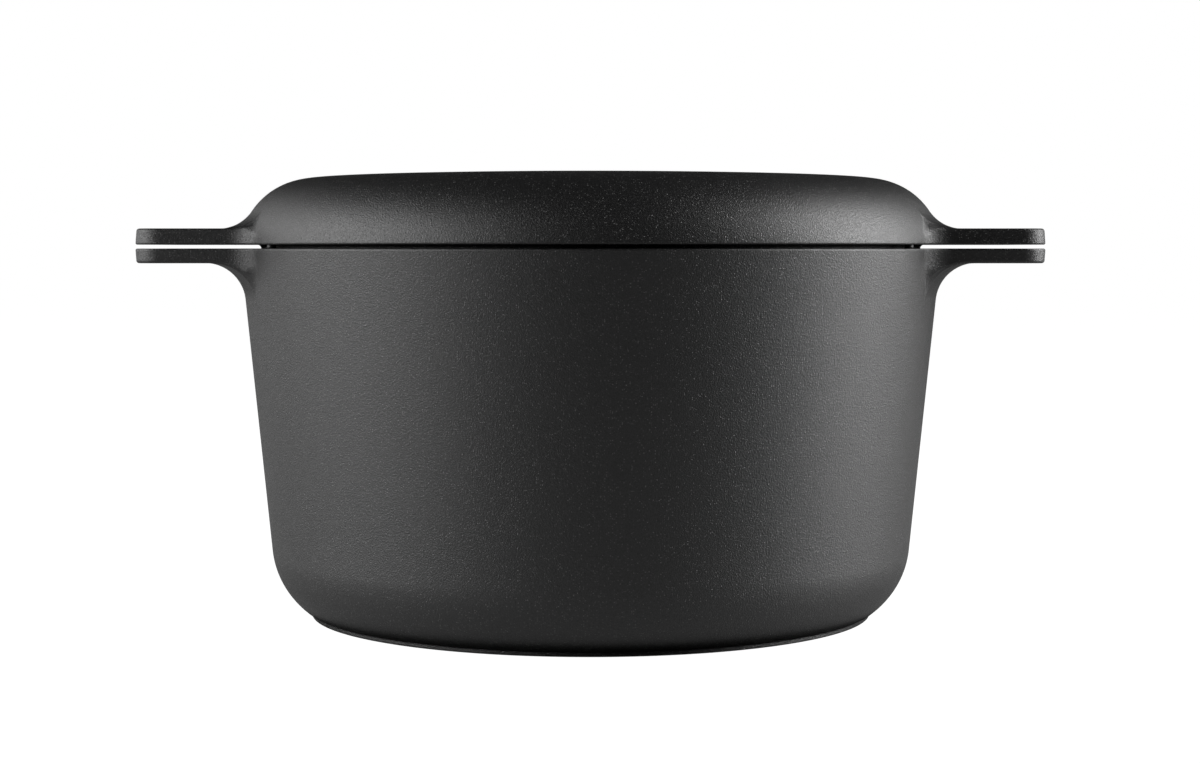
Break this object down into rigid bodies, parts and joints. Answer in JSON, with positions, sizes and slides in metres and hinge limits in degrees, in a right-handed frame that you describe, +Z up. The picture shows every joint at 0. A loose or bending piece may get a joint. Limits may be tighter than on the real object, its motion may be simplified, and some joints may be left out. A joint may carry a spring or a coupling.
{
  "type": "lidded casserole",
  "caption": "Round cast aluminium casserole with tab handles, a lid with matching tab handles and an induction plate in the base, coated matt black.",
  "frame": {"origin": "centre of the flat foot, on the surface that the pot stands on", "axes": "+Z up along the pot's axis, +X along the two handles, +Y completes the right-handed frame"},
  "size_m": [0.3048, 0.244, 0.153],
  "materials": {
    "coated_pot": "matte",
    "coated_lid": "matte",
    "plate_steel": "satin"
  },
  "bodies": {
    "pot": {"pot": "coated_pot", "induction_plate": "plate_steel"},
    "lid": {"lid": "coated_lid"}
  },
  "joints": [
    {"name": "lid_lift", "type": "slide", "parent": "pot", "child": "lid", "axis": [0, 0, 1], "range_m": [0, 0.12]}
  ]
}
